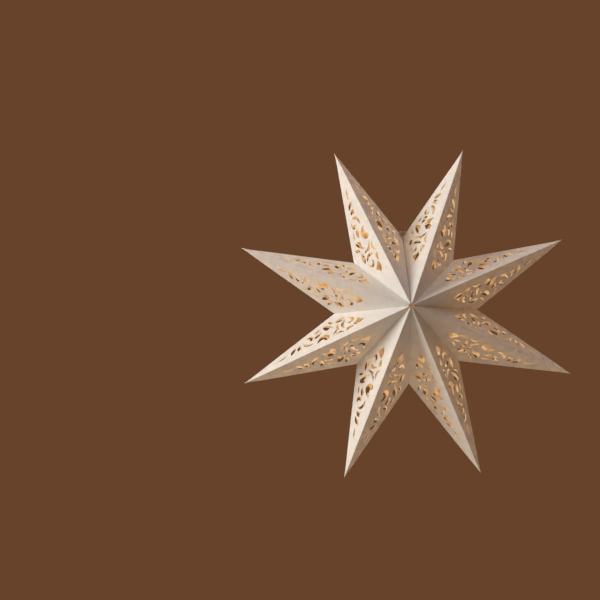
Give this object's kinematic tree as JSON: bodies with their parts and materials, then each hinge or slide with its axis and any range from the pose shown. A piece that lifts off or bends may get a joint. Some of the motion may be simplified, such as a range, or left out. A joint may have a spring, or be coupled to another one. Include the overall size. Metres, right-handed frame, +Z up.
{
  "type": "origami star",
  "caption": "Hanging star of folded card: hollow pointed spikes joined at a hub, each die-cut with a lacy scroll pattern, with a hanging loop in the top valley.",
  "frame": {"origin": "middle of the hub, halfway between the front and the back of the star", "axes": "+Z up to the closing valley with the hanging loop, -Y out of the star's front, +X to the right as seen from the front"},
  "size_m": [0.4168, 0.1332, 0.4167],
  "materials": {
    "card": "matte cream-white card with a faint fibre mottle, pale at the cut edges"
  },
  "bodies": {
    "root": {"point_1": "card", "point_2": "card", "point_3": "card", "point_4": "card", "point_5": "card", "point_6": "card", "point_7": "card", "point_8": "card", "hanging_loop": "card"}
  },
  "joints": []
}
